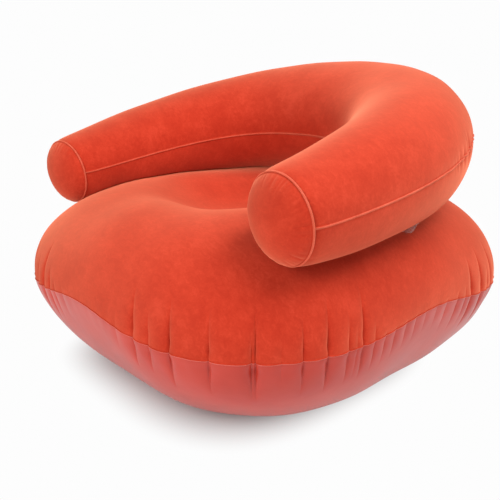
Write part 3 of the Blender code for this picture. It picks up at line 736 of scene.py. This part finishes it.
# Where the tube bends most, as shares of its length from the middle of the back, and the ranges
# that the gathers are drawn from. Their reaches and the discs' depths are in millimetres.
BEND_PLACE_SHARE = 0.25
BEND_SPREAD_SHARE = 0.055
PLACES = (0.1, 0.9)
DEPTH_SHARES = (0.3, 1.0)
REACH_SHARES = (0.6, 1)
STRAIGHT_REACH = 20
BEND_REACH = 34
END_SLACK_SHARE = 0.35
END_DEPTHS = (0.6, 3.2)
END_REACHES = (8, 22)


def weld_gathers(seed, bends, straights):
    """Small gathers along a weld, most of them where the tube bends: place, depth, reach."""
    roll = np.random.default_rng(seed)
    rows = []
    for k in range(TUBE_GATHERS):
        share = (k + roll.uniform(*PLACES)) / TUBE_GATHERS
        bend = math.exp(-((abs(share - 0.5) - BEND_PLACE_SHARE) / BEND_SPREAD_SHARE) ** 2)
        depth = (straights + bends * bend) * roll.uniform(*DEPTH_SHARES) / 1000
        reach = (STRAIGHT_REACH + BEND_REACH * bend) * roll.uniform(*REACH_SHARES) / 1000
        rows.append((share * tube_length, depth, reach))
    return rows


outer_gathers = weld_gathers(seed=3, bends=9.0, straights=0.5)
inner_gathers = weld_gathers(seed=9, bends=0.3, straights=0.25)


def end_gathers(seed):
    """Small gathers round a disc's weld, least at its inner side: angle, depth, reach."""
    roll = np.random.default_rng(seed)
    rows = []
    for k in range(END_GATHERS):
        turn = FULL_TURN * (k + roll.uniform(*PLACES)) / END_GATHERS - math.pi
        slack = END_SLACK_SHARE + (1 - END_SLACK_SHARE) * math.cos(turn / 2) ** 2
        depth = slack * roll.uniform(*END_DEPTHS) / 1000
        rows.append((turn, depth, roll.uniform(*END_REACHES) / 1000))
    return rows


left_end_gathers = end_gathers(seed=31)
right_end_gathers = end_gathers(seed=32)

PUCKER_TAPER = 1.2
PUCKER_CREASE = 0.0022
PUCKER_HOLLOW = 0.0055
PUCKER_CREASE_SHARE = 0.6


def pucker(near, away, depth, reach):
    """A small crease with a shallow hollow round it."""
    run = np.clip(1 - away / reach, 0, 1)
    crease = PUCKER_CREASE_SHARE * np.exp(-near / PUCKER_CREASE)
    hollow = (1 - PUCKER_CREASE_SHARE) * np.exp(-(near / PUCKER_HOLLOW) ** 2)
    return depth * run ** PUCKER_TAPER * (crease + hollow)


def tube_puckers(at, angle, radius):
    """How far all the gathers draw the tube's skin in."""
    total = np.zeros(angle.shape)
    from_outer = np.abs(angle) * radius
    from_inner = (math.pi - np.abs(angle)) * radius
    for gathers, away in ((outer_gathers, from_outer), (inner_gathers, from_inner)):
        for place, depth, reach in gathers:
            total += pucker(np.abs(at - place), away, depth, reach)
    for gathers, away in ((left_end_gathers, at), (right_end_gathers, tube_length - at)):
        for turn, depth, reach in gathers:
            total += pucker(turn_between(angle, turn) * radius, away, depth, reach)
    return total


def soft_floor(height, floor, blend):
    """The higher of two heights, eased over where they cross."""
    gap = height - floor
    return floor + (gap + np.sqrt(gap ** 2 + blend ** 2)) / 2


def tube_sheet(side):
    """Points of the upper (side 1) or lower (side -1) horseshoe, with a lip at both edges."""
    at = np.linspace(0, tube_length, round(tube_length / STATION) + 1)
    spread = np.linspace(0, 1, HALF_ROWS + 1)
    spread = side * math.pi * (spread - SEAM_CROWDING * np.sin(FULL_TURN * spread) / FULL_TURN)
    middle, radius, _, outward, upward = tube_frame(at)
    angle = np.repeat(spread[:, None], len(at), axis=1)
    around = around_tube(outward[None], upward[None], angle)
    points = middle[None] + around * radius[None, :, None]
    from_end = np.minimum(at, tube_length - at)
    drawn = tube_puckers(at[None], angle, radius[None])
    drawn = drawn + SHOULDER * np.exp(-from_end / SHOULDER_RUN)
    slow = unevenness(points, TUBE_WAVE_SIZE, TUBE_WAVE_RISE, TUBE_SEED)
    slow = slow * np.abs(np.sin(angle)) ** TUBE_WAVE_TAPER
    points = points + around * (slow - drawn)[..., None] + upward[None] * side * LIP_RISE
    floor = seat_top(points[..., 0], points[..., 1]) + REST_ROOM
    points[..., 2] = soft_floor(points[..., 2], floor, REST_BLEND)
    turned = upward * side
    outer = [points[0] + outward * out + turned * (rise - LIP_RISE) for out, rise in TUBE_BEAD]
    inner = [points[-1] - outward * out + turned * (rise - LIP_RISE) for out, rise in TUBE_BEAD]
    points[[0, -1]] += turned * (TUBE_BEAD[-1][1] - LIP_RISE)
    return np.concatenate([outer, points, inner[::-1]])


middle_of_back = tube_frame(np.array(tube_length / 2))[0]
tube_valve_middle, tube_valve_out = valve_axis("tube")
lip = len(TUBE_BEAD)
tube_top_skin = skin("tube_top_skin", tube_sheet(1), middle_of_back, lip, lip)
low_tube = lay_flat(tube_sheet(-1), tube_valve_middle, tube_valve_out)
tube_bottom_skin = skin("tube_bottom_skin", low_tube, middle_of_back, lip, lip,
                        hole=(tube_valve_middle, tube_valve_out, HOLE_REACH))

# The welding die crushes the flock flat on the lips, which leaves them a little glossy.
CRUSHED_ROUGHNESS = 0.55
# Their paler colour is partly the crushed flock and partly a painted highlight where the bead
# catches light.
CRUSHED_AND_HIGHLIGHT_COLOURS = ((0.36, "#C44C36"), (0.50, "#CE5841"), (0.66, "#D8664E"))
crushed_flock_and_highlight = flocked_pvc("flocked_pvc_crushed_and_painted_highlight", CRUSHED_AND_HIGHLIGHT_COLOURS, CRUSHED_ROUGHNESS)
# The tube's lips take the paler flock: crushed, with a painted highlight along the bead.
for item, node in ((tube_top_skin, "tube_top_panel"), (tube_bottom_skin, "tube_bottom_panel")):
    finish_piece(item, (flock, crushed_flock_and_highlight), "chair", node)

# Arm ends
# Round discs of the same flocked sheet, welded into the tube's ends. Air domes them, and their
# rims pucker a little where the flat disc is drawn round.
DISC_BULGE = 0.036
DISC_DROOP = 0.005
DISC_ROUNDING = 0.62
DISC_ROWS = 34
DISC_ROW_CROWDING = 0.75
DISC_COLUMNS = 320
DISC_ROOM = 0.0008
DISC_PUCKER_DEPTH = 1.5
DISC_PUCKER_REACH = 1.4
DISC_HELD_POWER = 40

# Out from the rim and away from the tube, in metres, round the bead that joins disc and tube.
DISC_BEAD = ((0.0006, 0.0010), (0.0014, 0.0012), (0.0021, 0.0006), (0.0022, -0.0005),
             (0.0018, -0.0012))


def end_disc(name, at, away_sign, node, gathers):
    middle, radius, tangent, outward, upward = tube_frame(np.array(at))
    away = tangent * away_sign
    turn = np.linspace(-math.pi, math.pi, DISC_COLUMNS + 1)[:-1]
    out = np.linspace(0, 1, DISC_ROWS + 1) ** DISC_ROW_CROWDING
    turn, out = np.meshgrid(turn, out)
    drawn = np.zeros(turn.shape)
    for place, depth, reach in gathers:
        drawn += pucker(turn_between(turn, place) * radius, (1 - out) * radius,
                        depth * DISC_PUCKER_DEPTH, reach * DISC_PUCKER_REACH)
    dome = (1 - out ** 2) ** DISC_ROUNDING
    rim = radius - SHOULDER
    spokes = around_tube(outward, upward, turn)
    lift = DISC_ROOM + DISC_BULGE * dome - drawn * (1 - out ** DISC_HELD_POWER)
    points = (middle + spokes * (rim * out)[..., None] + away * lift[..., None]
              - upward * (DISC_DROOP * dome)[..., None])
    bead = [points[-1] + spokes[-1] * step + away * rise for step, rise in DISC_BEAD]
    item = skin(name, closed(np.concatenate([points, bead])), middle - away * END_RADIUS,
                last_lip=len(DISC_BEAD))
    # The disc's bead takes the paler flock: crushed, with a painted highlight along it.
    finish_piece(item, (flock, crushed_flock_and_highlight), "chair", node)


end_disc("left_end_disc_skin", 0.0, -1, "left_end_disc", left_end_gathers)
end_disc("right_end_disc_skin", tube_length, 1, "right_end_disc", right_end_gathers)

# Weld tabs
# Strips of clear PVC film, welded under the tube and onto the seat at both arms and the back. They
# hold the two chambers together, and their free edges curl up a little beside the tube.
TAB_FILM = 0.0002
TAB_ROOM = 0.0003
TAB_INNER_REACH = 0.030
TAB_OUTER_REACH = 0.050
ARM_TAB_LENGTH = 0.100
BACK_TAB_LENGTH = 0.260
ARM_TAB_PLACE = 0.2010
TAB_CORNER_POWER = 5
TAB_CORNER_SHARE = 0.35
TAB_CURL = 0.0070
TAB_CURL_POWER = 3
TAB_WAVE_SHARE = 0.3
TAB_WAVE_TURN = 5
TAB_WAVE_START = 1.2
TAB_ROWS = 22
TAB_COLUMNS = 60
FILM_HAZE = 1 / 60


def clear_film():
    material, shader, place = new_material("clear_pvc_film", Roughness=0.30, IOR=1.53,
                                           Alpha=0.26, Base_Color=srgb("#FBEDE8"))
    haze = noise(material, place, FILM_HAZE, 2.0)
    add_relief(material, shader, haze, strength=0.12, depth=0.002)
    return material


film = clear_film()


def weld_tab(name, place, length, node):
    """A strip that follows the tube's middle line, laid on the seat, its outer edge curled."""
    across = np.linspace(0, 1, TAB_ROWS + 1)[:, None]
    along = np.linspace(-1, 1, TAB_COLUMNS + 1)[None]
    rounded = 1 - np.abs(2 * across - 1) ** TAB_CORNER_POWER * TAB_CORNER_SHARE
    at = place * tube_length + along * rounded * length / 2
    middle, _, _, outward, _ = tube_frame(at)
    level = outward * np.array([1, 1, 0])
    level /= np.linalg.norm(level, axis=-1, keepdims=True)
    reach = -TAB_INNER_REACH + (TAB_INNER_REACH + TAB_OUTER_REACH) * across
    points = middle + level * (reach + 0 * at)[..., None]
    wave = 1 + TAB_WAVE_SHARE * np.sin(TAB_WAVE_TURN * along + TAB_WAVE_START)
    curl = TAB_CURL * across ** TAB_CURL_POWER * wave / (1 + TAB_WAVE_SHARE)
    points[..., 2] = seat_top(points[..., 0], points[..., 1]) + TAB_ROOM + TAB_FILM + curl
    item = skin(name, points, middle[0, 0] - np.array([0, 0, 1]))
    item.modifiers["sheet"].thickness = TAB_FILM
    finish_piece(item, (film,), "chair", node)


weld_tab("left_arm_tab_film", ARM_TAB_PLACE, ARM_TAB_LENGTH, "left_arm_tab")
weld_tab("right_arm_tab_film", 1 - ARM_TAB_PLACE, ARM_TAB_LENGTH, "right_arm_tab")
weld_tab("back_tab_film", 0.5, BACK_TAB_LENGTH, "back_tab")

# Air valves
# One in the back of the seat and one in the back of the tube, injection moulded in soft PVC: a
# flange welded on the sheet, a screw-in plug with grip notches on a rubber ring, and a strap cap.
GAP = 0.0003
FLANGE_RADIUS = 0.028
FLANGE_TOP = 0.0015
NECK_RADIUS = 0.016
NECK_BORE = 0.0135
NECK_DEPTH = 0.014
SEAL_RADIUS = 0.001
HEAD_RADIUS = 0.0185
HEAD_THICKNESS = 0.003
PLUG_LENGTH = 0.0105
PLUG_BORE = 0.0075
GRIP_NOTCHES = 8
GRIP_NOTCH_RADIUS = 0.0022
CAP_RADIUS = 0.0112
CAP_THICKNESS = 0.0018
SPIGOT_LENGTH = 0.0045
SPIGOT_TAPER = 0.0005
STRAP_WIDTH = 0.007
STRAP_EDGE = 0.0003
PULL_REACH = 0.0035
PULL_WIDTH = 0.006
PULL_EDGE = 0.0004
FINE_EDGE = 0.0002
EDGE = 0.0003
CHAMFER = 0.0004
TIP_CHAMFER = 0.0006
MOULDED_STEPS = 144
SEAL_STEPS = 14
SAME_MOULDED_POINT = 0.00001
SHARP_EDGE = math.radians(38)

# Tops of the turned forms, as steps in from the rim and down from the top, in metres.
FLANGE_FACE = ((0.0058, 0), (0.0054, -0.0003), (0.0044, -0.0003), (0.0040, 0),
               (0.0014, 0.0001), (0.0004, 0.0005))
HEAD_FACE = ((0.0036, 0), (0.0030, 0.0002), (0.0012, 0.0002), (0.0004, 0.0004), (0, 0.0011))
CAP_FACE = ((0.0034, 0.0005), (0.0026, 0), (0.0008, 0), (0.0001, 0.0006))


def face_points(radius, top, shape):
    return [(radius - inwards, top - down) for inwards, down in shape]


def turned_form(profile, loop=True):
    """A form turned about Z from its half section, as radius and height in metres."""
    bm = bmesh.new()
    verts = [bm.verts.new((radius, 0, height)) for radius, height in profile]
    for k in range(len(verts) if loop else len(verts) - 1):
        bm.edges.new((verts[k], verts[(k + 1) % len(verts)]))
    bmesh.ops.spin(bm, geom=bm.verts[:] + bm.edges[:], cent=(0, 0, 0), axis=(0, 0, 1),
                   angle=FULL_TURN, steps=MOULDED_STEPS, use_merge=True)
    bmesh.ops.remove_doubles(bm, verts=bm.verts, dist=SAME_MOULDED_POINT)
    return bm


def add_bar(bm, low, high, edge):
    """A bar with rounded edges between two corners."""
    size = Vector(high) - Vector(low)
    made = bmesh.ops.create_cube(bm, size=1)["verts"]
    bmesh.ops.scale(bm, vec=size, verts=made)
    bmesh.ops.translate(bm, vec=Vector(low) + size / 2, verts=made)
    edges = list({e for v in made for e in v.link_edges})
    bmesh.ops.bevel(bm, geom=edges, offset=edge, offset_type="OFFSET", segments=3, profile=0.5,
                    affect="EDGES", material=-1)


def moulded_piece(name, bm, place, material, body, node):
    bmesh.ops.recalc_face_normals(bm, faces=bm.faces)
    bmesh.ops.transform(bm, matrix=place, verts=bm.verts)
    for face in bm.faces:
        face.smooth = True
    mesh = new_mesh(name, bm)
    mesh.set_sharp_from_angle(angle=SHARP_EDGE)
    finish_piece(new_object(name, mesh), (material,), body, node)


MOULD_GRAIN = 0.0007
RUBBER_BLOOM = 0.004
RUBBER_COLOURS = ((0.35, "#8F908D"), (0.70, "#A2A29E"))


def moulded_pvc():
    """Soft PVC from a spark-eroded mould: warm off-white, a fine even grain and a dull gloss."""
    material, shader, place = new_material("moulded_soft_pvc", Base_Color=srgb("#EFE4DF"),
                                           Roughness=0.42, IOR=1.53, Subsurface_Weight=0.15)
    shader.inputs["Subsurface Radius"].default_value = (0.004, 0.002, 0.0015)
    add_relief(material, shader, noise(material, place, MOULD_GRAIN, 2.0), strength=0.25,
               depth=0.0002)
    return material


def silicone_rubber():
    """Moulded silicone: grey, slightly waxy, with a faint uneven bloom."""
    material, shader, place = new_material("silicone_rubber", Roughness=0.48, IOR=1.41)
    bloom = noise(material, place, RUBBER_BLOOM, 2.0)
    add_colours(material, shader, bloom, RUBBER_COLOURS)
    return material


valve_plastic, valve_rubber = moulded_pvc(), silicone_rubber()


def valve_flange():
    """The flange with its raised ring, and the neck that holds the plug."""
    return turned_form((
        (NECK_BORE, FLANGE_TOP - EDGE), (NECK_BORE + EDGE, FLANGE_TOP),
        *face_points(FLANGE_RADIUS, FLANGE_TOP, FLANGE_FACE),
        (FLANGE_RADIUS, GAP + EDGE), (FLANGE_RADIUS - FINE_EDGE, GAP), (NECK_RADIUS, GAP),
        (NECK_RADIUS, -NECK_DEPTH + CHAMFER), (NECK_RADIUS - CHAMFER, -NECK_DEPTH),
        (NECK_BORE + CHAMFER, -NECK_DEPTH), (NECK_BORE, -NECK_DEPTH + CHAMFER)))


def valve_seal():
    major = (NECK_BORE + HEAD_RADIUS) / 2
    centre = FLANGE_TOP + GAP + SEAL_RADIUS
    ring = [FULL_TURN * k / SEAL_STEPS for k in range(SEAL_STEPS)]
    return turned_form([(major + SEAL_RADIUS * math.sin(a), centre + SEAL_RADIUS * math.cos(a))
                        for a in ring])


def valve_plug():
    """A bored shank, and a head whose rim is notched for the fingers."""
    top = PLUG_FLOOR + HEAD_THICKNESS
    shank = NECK_BORE - GAP
    low = PLUG_FLOOR - PLUG_LENGTH
    bm = turned_form((
        (PLUG_BORE, top - EDGE), (PLUG_BORE + EDGE, top),
        *face_points(HEAD_RADIUS, top, HEAD_FACE),
        (HEAD_RADIUS, PLUG_FLOOR + EDGE), (HEAD_RADIUS - EDGE, PLUG_FLOOR), (shank, PLUG_FLOOR),
        (shank, low + TIP_CHAMFER), (shank - TIP_CHAMFER, low), (PLUG_BORE, low)))
    for vert in bm.verts:
        reach = math.hypot(vert.co.x, vert.co.y)
        if reach > shank + EDGE:
            turn = math.atan2(vert.co.y, vert.co.x) / FULL_TURN * GRIP_NOTCHES - 0.5
            aside = abs(turn - round(turn)) * FULL_TURN / GRIP_NOTCHES * HEAD_RADIUS
            cut = math.sqrt(max(GRIP_NOTCH_RADIUS ** 2 - aside ** 2, 0))
            trimmed = min(reach, HEAD_RADIUS - cut)
            vert.co.x *= trimmed / reach
            vert.co.y *= trimmed / reach
    return bm


def valve_cap():
    """A dished disc with its spigot, strap and pull tab."""
    low = PLUG_FLOOR + HEAD_THICKNESS + GAP
    top = low + CAP_THICKNESS
    spigot = PLUG_BORE - GAP
    tip = low - SPIGOT_LENGTH
    face = face_points(CAP_RADIUS, top, CAP_FACE)
    bm = turned_form((
        (0, face[0][1]), *face, (CAP_RADIUS, low + FINE_EDGE), (CAP_RADIUS - FINE_EDGE, low),
        (spigot, low), (spigot - SPIGOT_TAPER, tip + TIP_CHAMFER),
        (spigot - SPIGOT_TAPER - TIP_CHAMFER, tip), (0, tip)), loop=False)
    add_bar(bm, (-HEAD_RADIUS, -STRAP_WIDTH / 2, low),
            (-CAP_RADIUS / 2, STRAP_WIDTH / 2, low + CAP_THICKNESS / 2), STRAP_EDGE)
    pull_end = CAP_RADIUS + PULL_REACH
    add_bar(bm, (CAP_RADIUS / 2, -PULL_WIDTH / 2, low + CAP_THICKNESS / 6),
            (pull_end, PULL_WIDTH / 2, low + CAP_THICKNESS * 5 / 6), PULL_EDGE)
    return bm


for prefix in ("seat", "tube"):
    middle, out = valve_axis(prefix)
    flip = next(j for j in frame["joints"] if j["name"] == prefix + "_cap_flip")
    height = PLUG_FLOOR + HEAD_THICKNESS + GAP
    level = Vector(middle + out * height - np.array(flip["pos_m"])).normalized()
    out = Vector(out)
    place = Matrix.Translation(Vector(middle)) @ Matrix(
        (level, out.cross(level), out)).transposed().to_4x4()
    for part, make, material, body, slot in (
            ("base", valve_flange, valve_plastic, "chair", "valve_plastic"),
            ("seal", valve_seal, valve_rubber, prefix + "_seal", "valve_rubber"),
            ("plug", valve_plug, valve_plastic, prefix + "_plug", "valve_plastic"),
            ("cap", valve_cap, valve_plastic, prefix + "_cap", "valve_plastic")):
        node = prefix + "_valve_" + part
        moulded_piece(node + "_moulded", make(), place, material, body, node)
    flap = frame["nodes"][prefix + "_valve_flap"]
    flap.data.materials.clear()
    flap.data.materials.append(valve_rubber)

# Studio
# A pale floor, four soft lamps and the photograph's camera. The floor shows the chair's shadow
# under and beside the seat, and the backdrop's white beyond.
bpy.context.scene.view_settings.view_transform = "Standard"
BACKDROP = 0.982
AMBIENT = 0.31
SHADOW_MIDDLE = (-0.034, -0.045, 0)
SHADOW_INNER_SHARE = 0.54
SHADOW_OUTER_SHARE = 0.85
FLOOR_SEEN_COLOUR = "#C8C8C8"
FLOOR_REACH = 14
FLOOR_DROP = 0.0004
IN_GLOSS = 0.50


def shown_to(material):
    """1 for rays from the camera or through clear film, less in a gloss, 0 for falling light."""
    path = add_node(material, "ShaderNodeLightPath")
    seen = maths(material, "MAXIMUM", path.outputs["Is Camera Ray"],
                 path.outputs["Is Transmission Ray"])
    dimmed = maths(material, "MULTIPLY", path.outputs["Is Glossy Ray"], IN_GLOSS)
    return maths(material, "MAXIMUM", seen, dimmed)


def studio_world():
    world = bpy.context.scene.world or bpy.data.worlds.new("studio")
    bpy.context.scene.world = world
    world.use_nodes = True
    background = world.node_tree.nodes["Background"]
    level = add_node(world, "ShaderNodeMapRange", Value=shown_to(world), To_Min=AMBIENT,
                     To_Max=BACKDROP)
    world.node_tree.links.new(level.outputs[0], background.inputs["Strength"])
    background.inputs["Color"].default_value = (1, 1, 1, 1)


def studio_floor():
    bm = bmesh.new()
    bmesh.ops.create_grid(bm, x_segments=1, y_segments=1, size=FLOOR_REACH)
    bmesh.ops.translate(bm, vec=(0, 0, -FLOOR_DROP), verts=bm.verts)
    mesh = new_mesh("floor", bm)
    material, shader, place = new_material("white_painted_floor", Base_Color=srgb("#FAFAFA"),
                                           Roughness=0.9)
    shown = shown_to(material)
    sides = place
    for operation, values in (("SUBTRACT", [SHADOW_MIDDLE]), ("ABSOLUTE", []),
                              ("DIVIDE", [(SEAT_WIDTH / 2, SEAT_DEPTH / 2, 1)])):
        sides = maths(material, operation, sides, *values, kind="ShaderNodeVectorMath")
    sides = add_node(material, "ShaderNodeSeparateXYZ", _0=sides)
    across, along = [maths(material, "POWER", sides.outputs[k], OUTLINE_POWER) for k in (0, 1)]
    share = maths(material, "POWER", maths(material, "ADD", across, along), 1 / OUTLINE_POWER)
    far = add_node(material, "ShaderNodeMapRange", {"interpolation_type": "SMOOTHSTEP"},
                   Value=share, From_Min=SHADOW_INNER_SHARE, From_Max=SHADOW_OUTER_SHARE)
    white = maths(material, "MULTIPLY", far.outputs[0], shown)
    seen = add_node(material, "ShaderNodeBsdfDiffuse", Color=srgb(FLOOR_SEEN_COLOUR))
    plain = add_node(material, "ShaderNodeEmission", Strength=BACKDROP, Color=(1, 1, 1, 1))
    near = add_node(material, "ShaderNodeMixShader", _0=shown, _1=shader.outputs[0],
                    _2=seen.outputs[0])
    total = add_node(material, "ShaderNodeMixShader", _0=white, _1=near.outputs[0],
                     _2=plain.outputs[0])
    surface = material.node_tree.nodes["Material Output"].inputs["Surface"]
    material.node_tree.links.new(total.outputs[0], surface)
    mesh.materials.append(material)
    new_object("floor", mesh)


# Each lamp's place, size in metres and power in watts.
LAMPS = {
    "overhead": ((0.1, 0.5, 3.0), 2.4, 19),
    "high_right": ((1.6, 0.2, 2.6), 1.8, 70),
    "front": ((0.2, -2.7, 1.4), 1.8, 45),
    "behind_left": ((-1.7, 2.3, 1.7), 1.8, 30),
}
LAMP_TARGET = Vector((0, 0, 0.35))


def soft_lamp(name, place, size, power):
    light = bpy.data.lights.new(name, "AREA")
    light.shape = "DISK"
    light.size = size
    light.energy = power
    aim = (LAMP_TARGET - Vector(place)).to_track_quat("-Z", "Y").to_matrix().to_4x4()
    new_object(name, light).matrix_world = Matrix.Translation(place) @ aim


studio_world()
studio_floor()
for name, (place, size, power) in LAMPS.items():
    soft_lamp(name, place, size, power)

CAMERA_TURN = math.radians(47.0904)
CAMERA_TILT = math.radians(15.0432)
CAMERA_AWAY = 1.5254
CAMERA_TARGET = Vector((0, 0, 0.2786))
CAMERA_ROLL = math.radians(0.2437)
CAMERA_LENS = 41.174
CAMERA_SENSOR = 36
CAMERA_SHIFT = (-0.0263, -0.0041)
camera_data = bpy.data.cameras.new("camera")
camera_data.lens = CAMERA_LENS
camera_data.sensor_width = CAMERA_SENSOR
camera_data.shift_x, camera_data.shift_y = CAMERA_SHIFT
camera = new_object("camera", camera_data)
back = Vector((math.sin(CAMERA_TURN) * math.cos(CAMERA_TILT),
               -math.cos(CAMERA_TURN) * math.cos(CAMERA_TILT), math.sin(CAMERA_TILT)))
right = Vector((math.cos(CAMERA_TURN), math.sin(CAMERA_TURN), 0))
axes = Matrix((right, back.cross(right), back)).transposed().to_4x4()
camera.matrix_world = (Matrix.Translation(CAMERA_TARGET + back * CAMERA_AWAY) @ axes
                       @ Matrix.Rotation(CAMERA_ROLL, 4, "Z"))
bpy.context.scene.camera = camera
